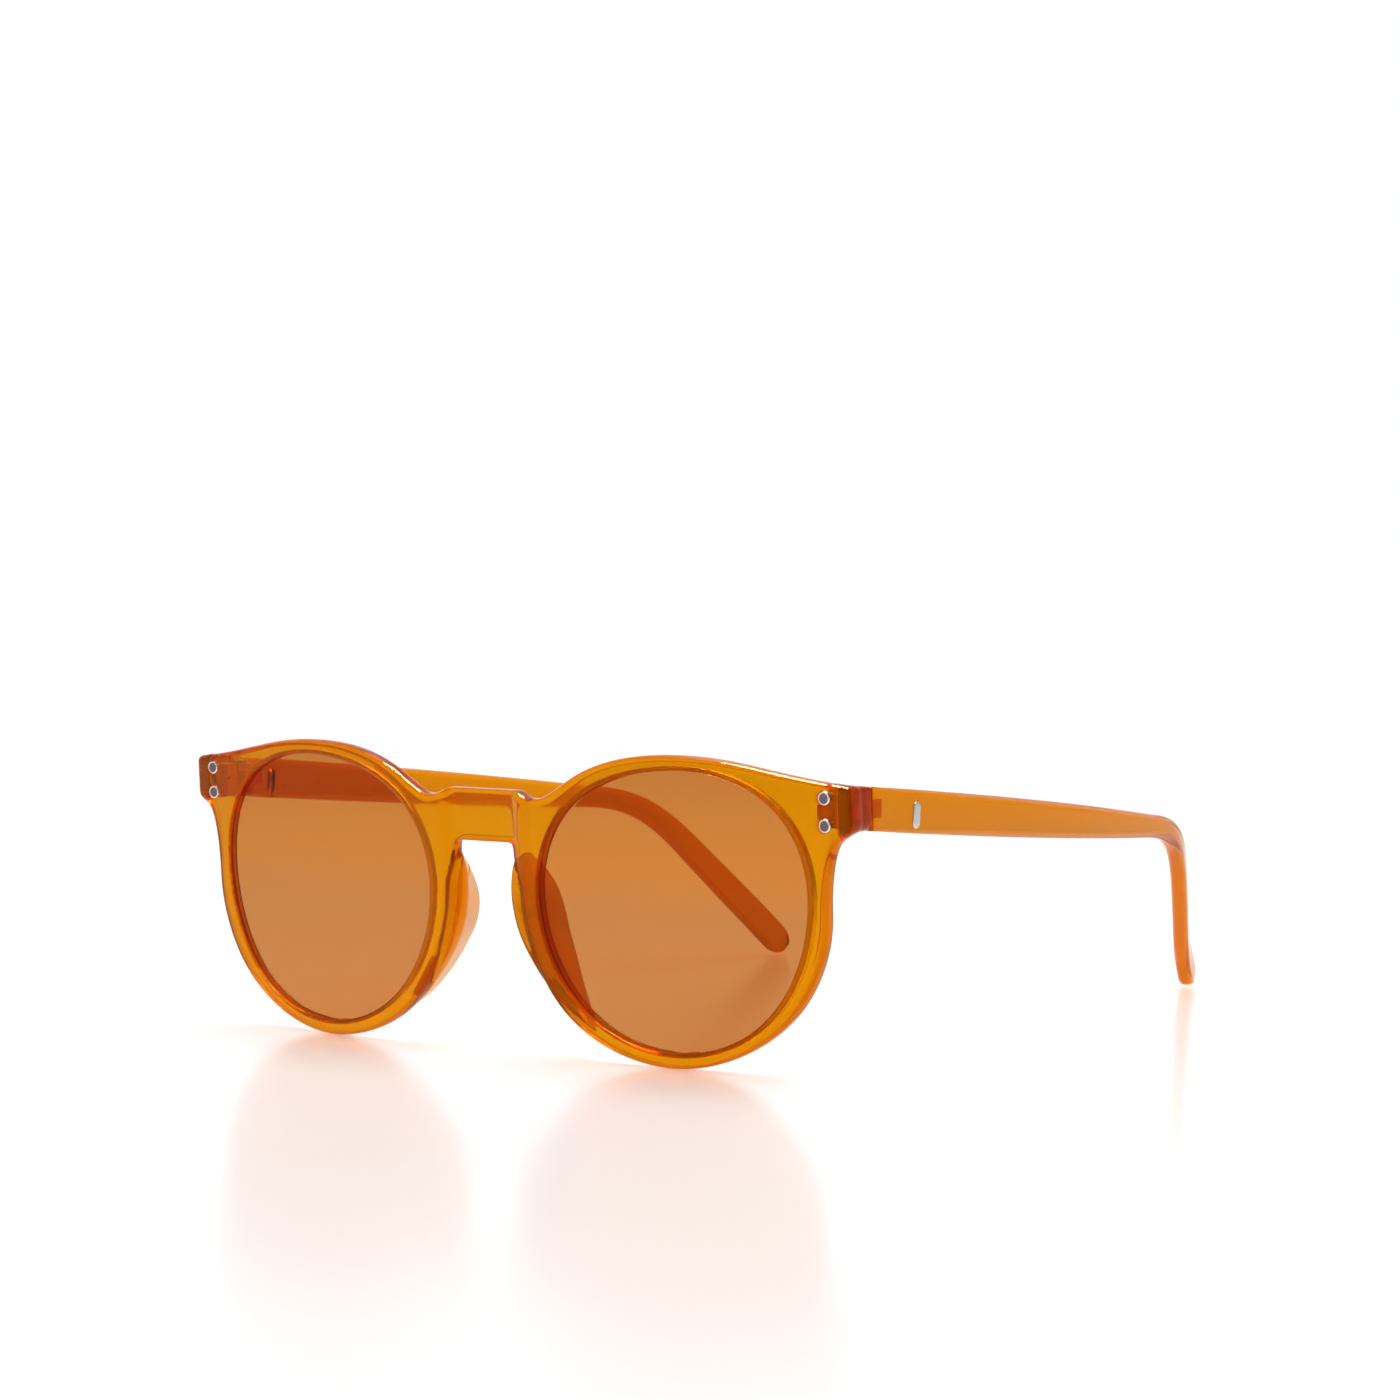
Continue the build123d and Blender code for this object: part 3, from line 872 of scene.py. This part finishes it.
def mixed_colour(nodes, links, share, first, second):
    """From the first colour at share 0 to the second at share 1."""
    mix = nodes.new("ShaderNodeMix")
    mix.data_type = "RGBA"
    mix.inputs["A"].default_value = first
    mix.inputs["B"].default_value = second
    links.new(share, mix.inputs["Factor"])
    return mix.outputs["Result"]


def facing_share(nodes, links, source, direction):
    """Cosine between a direction from the node tree and a fixed one."""
    facing = nodes.new("ShaderNodeVectorMath")
    facing.operation = "DOT_PRODUCT"
    facing.inputs[1].default_value = direction
    links.new(source, facing.inputs[0])
    return facing.outputs["Value"]


def dyed_plastic_with_painted_edge_shade(name, edge_painted_shade, face_normal, edge_cosines):
    """Slightly milky dyed plastic: amber on its flat faces, with a painted shade of deeper orange
    round their edges.

    face_normal is the direction on the object that the flat faces look in, and edge_cosines are the
    two between which the painted edge shade gives way to the face colour. Light reddens further with
    the length of its way through.
    """
    nodes, shader, made = material(name)
    links = made.node_tree.links
    where = nodes.new("ShaderNodeTexCoord")
    either_side = nodes.new("ShaderNodeMath")
    either_side.operation = "ABSOLUTE"
    facing = facing_share(nodes, links, where.outputs["Normal"], face_normal)
    links.new(facing, either_side.inputs[0])
    flatness = ranged(
        nodes, links, either_side.outputs["Value"], 0.0, 1.0, edge_cosines, "SMOOTHSTEP"
    )
    # painted shade: the edge colour where the surface turns away from the face direction, the dye's
    # amber elsewhere
    dye_with_edge_shade = mixed_colour(nodes, links, flatness, edge_painted_shade, FACE_DYE)
    links.new(dye_with_edge_shade, shader.inputs["Base Color"])
    shader.inputs["Transmission Weight"].default_value = AMBER_CLEAR
    shader.inputs["Specular IOR Level"].default_value = AMBER_SPECULAR
    shader.inputs["Specular Tint"].default_value = SHEEN_TINT
    shader.inputs["IOR"].default_value = AMBER_IOR
    haze = noise(nodes, links, 300.0)
    links.new(ranged(nodes, links, haze.outputs["Fac"], 0.03, 0.08), shader.inputs["Roughness"])
    volume = nodes.new("ShaderNodeVolumeAbsorption")
    volume.inputs["Color"].default_value = AMBER_DEPTH_COLOUR
    volume.inputs["Density"].default_value = AMBER_DEPTH_DENSITY
    links.new(volume.outputs["Volume"], nodes["Material Output"].inputs["Volume"])
    return made


@cached
def front_plastic():
    return dyed_plastic_with_painted_edge_shade("amber_front", RIM_EDGE_PAINTED_SHADE, (0.0, 1.0, 0.0), FRONT_EDGE_COSINES)


@cached
def side_plastic():
    """For the pads and for the temples, whose faces turn inward by up to 28 degrees."""
    return dyed_plastic_with_painted_edge_shade("amber_side", SIDE_EDGE_PAINTED_SHADE, (1.0, 0.0, 0.0), SIDE_EDGE_COSINES)


@cached
def lens_tint_and_painted_reflection():
    """Brown tint, a little more orange in the upper half; the paler lower half is a painted
    reflection of the white table.
    """
    nodes, shader, made = material("lens_tint_and_painted_reflection")
    links = made.node_tree.links
    where = nodes.new("ShaderNodeTexCoord")
    split = nodes.new("ShaderNodeSeparateXYZ")
    links.new(where.outputs["Object"], split.inputs["Vector"])
    height = ranged(nodes, links, split.outputs["Z"], 0.0, 1.0, LENS_TINT_HEIGHTS, "SMOOTHSTEP")
    # the tint, with a painted reflection making it paler towards the bottom
    tint_and_reflection = mixed_colour(nodes, links, height, LENS_LOWER_TINT_AND_REFLECTION, LENS_UPPER)
    links.new(tint_and_reflection, shader.inputs["Base Color"])
    shader.inputs["Transmission Weight"].default_value = 1.0
    shader.inputs["IOR"].default_value = LENS_IOR
    sheen = noise(nodes, links, 40.0)
    links.new(ranged(nodes, links, sheen.outputs["Fac"], 0.0, 0.012), shader.inputs["Roughness"])
    return made


@cached
def hinge_plastic():
    nodes, shader, made = material("hinge_plastic")
    links = made.node_tree.links
    shader.inputs["Base Color"].default_value = linear(252, 128, 6)
    shader.inputs["Transmission Weight"].default_value = HINGE_CLEAR
    shader.inputs["Specular IOR Level"].default_value = HINGE_SPECULAR
    shader.inputs["Specular Tint"].default_value = SHEEN_TINT
    shader.inputs["IOR"].default_value = HINGE_IOR
    grain = noise(nodes, links, 900.0)
    links.new(ranged(nodes, links, grain.outputs["Fac"], 0.22, 0.38), shader.inputs["Roughness"])
    return made


def metal(name, colour, rough_low, rough_high):
    nodes, shader, made = material(name)
    links = made.node_tree.links
    shader.inputs["Base Color"].default_value = colour
    shader.inputs["Metallic"].default_value = 1.0
    wear = noise(nodes, links, 1500.0, 5.0)
    roughness = ranged(nodes, links, wear.outputs["Fac"], rough_low, rough_high)
    links.new(roughness, shader.inputs["Roughness"])
    return made


# the rivet head's grey-mauve: partly its metal, partly a painted reflection of dark surroundings
@cached
def rivet_metal_and_painted_dark():
    return metal("rivet_metal_and_painted_dark", linear(128, 112, 116), 0.35, 0.5)


# the inlays' own bright metal; on the rivets' rims it is a painted highlight
@cached
def bright_metal_and_rim_highlight():
    return metal("bright_metal_and_rim_highlight", linear(235, 232, 230), 0.1, 0.22)


@cached
def screw_metal():
    return metal("screw_metal", linear(190, 188, 186), 0.2, 0.35)


# ---- studio -------------------------------------------------------------
ROOM_LEVEL, BACKDROP_LEVEL = 0.3, 1.02
BACKDROP_DIRECTION = (-0.595, 0.803, 0.0)
BACKDROP_COSINES = (0.5, 0.85)  # the room below the first, the full backdrop above the second
OVERHEAD_POWER = 5.5
GLINT_POWER = 22.0  # a lamp that only shows in reflections and through the plastic
TABLE_REACH = 6.0
GLOW_NEAR, GLOW_FAR = 0.1, 0.7
GLOW_DISTANCES = (0.3, 2.0)  # metres from the object, between which the glow grows


def build_floor():
    """A wide plain white table that glows a little, so that it stays white beyond the lamps.

    The glow grows with distance only where the table is seen directly, so it lights evenly.
    """
    signs = ((-1, -1), (1, -1), (1, 1), (-1, 1))
    corners = [(TABLE_REACH * x, TABLE_REACH * y, 0) for x, y in signs]
    floor = new_object("table", corners, [(0, 1, 2, 3)], smooth=False)
    nodes, shader, made = material("table_white")
    shader.inputs["Base Color"].default_value = (0.92, 0.92, 0.92, 1.0)
    shader.inputs["Roughness"].default_value = 0.2
    shader.inputs["Emission Color"].default_value = (1.0, 1.0, 1.0, 1.0)
    links = made.node_tree.links
    where = nodes.new("ShaderNodeTexCoord")
    away = nodes.new("ShaderNodeVectorMath")
    away.operation = "LENGTH"
    links.new(where.outputs["Object"], away.inputs[0])
    glow = ranged(nodes, links, away.outputs["Value"], GLOW_NEAR, GLOW_FAR, GLOW_DISTANCES)
    path = nodes.new("ShaderNodeLightPath")
    seen = nodes.new("ShaderNodeMix")
    seen.inputs["A"].default_value = GLOW_NEAR
    links.new(path.outputs["Is Camera Ray"], seen.inputs["Factor"])
    links.new(glow, seen.inputs["B"])
    links.new(seen.outputs["Result"], shader.inputs["Emission Strength"])
    set_material(floor, made)


def build_lights():
    """A white backdrop on the far side, a dim room round the rest and two soft lamps overhead.

    Seen directly, the whole room shows as plain white; what it lights and its reflections are dim.
    The smaller lamp gives no diffuse light.
    """
    world = bpy.data.worlds.new("studio")
    world.use_nodes = True
    nodes, links = world.node_tree.nodes, world.node_tree.links
    direction = nodes.new("ShaderNodeTexCoord")
    facing = facing_share(nodes, links, direction.outputs["Generated"], BACKDROP_DIRECTION)
    shade = ranged(
        nodes, links, facing, ROOM_LEVEL, BACKDROP_LEVEL, BACKDROP_COSINES, "SMOOTHSTEP"
    )
    path = nodes.new("ShaderNodeLightPath")
    level = nodes.new("ShaderNodeMix")
    level.inputs["B"].default_value = BACKDROP_LEVEL
    links.new(path.outputs["Is Camera Ray"], level.inputs["Factor"])
    links.new(shade, level.inputs["A"])
    links.new(level.outputs["Result"], nodes["Background"].inputs["Strength"])
    nodes["Background"].inputs["Color"].default_value = (1.0, 1.0, 1.0, 1.0)
    bpy.context.scene.world = world
    area_light("overhead", (0.0, 0.05, 0.7), (0.0, 0.0, 0.0), 0.7, OVERHEAD_POWER)
    glint = area_light("glint", (0.0, -0.05, 0.6), (0.0, -0.05, 0.0), 0.3, GLINT_POWER)
    glint.visible_diffuse = False


def area_light(name, place, target, size, power):
    lamp = bpy.data.lights.new(name, "AREA")
    lamp.energy = power
    lamp.size = size
    thing = bpy.data.objects.new(name, lamp)
    thing.location = place
    thing.rotation_euler = (Vector(target) - Vector(place)).to_track_quat("-Z", "Y").to_euler()
    bpy.context.scene.collection.objects.link(thing)
    return thing


def build_camera():
    """102 mm lens, 0.64 m away, from the front and the wearer's left, a little above the table."""
    azimuth, elevation, distance = math.radians(36.53), math.radians(2.62), 0.639
    target = Vector((0.02372, 0.02511 + SHIFT[1] * MM, 0.0565 + SHIFT[2] * MM))
    away = Vector(
        (
            math.sin(azimuth) * math.cos(elevation),
            -math.cos(azimuth) * math.cos(elevation),
            math.sin(elevation),
        )
    )
    lens = bpy.data.cameras.new("camera")
    lens.lens = 101.98
    lens.sensor_width = 36.0
    lens.clip_start = 0.01
    camera = bpy.data.objects.new("camera", lens)
    camera.location = target + away * distance
    camera.rotation_euler = (-away).to_track_quat("-Z", "Y").to_euler()
    bpy.context.scene.collection.objects.link(camera)
    bpy.context.scene.camera = camera
    bpy.context.scene.view_settings.view_transform = "Standard"


build_front()
build_nose_pads()
build_lenses()
build_temples()
build_rivets()
build_inlays()
dress_hinges()
build_floor()
build_lights()
build_camera()
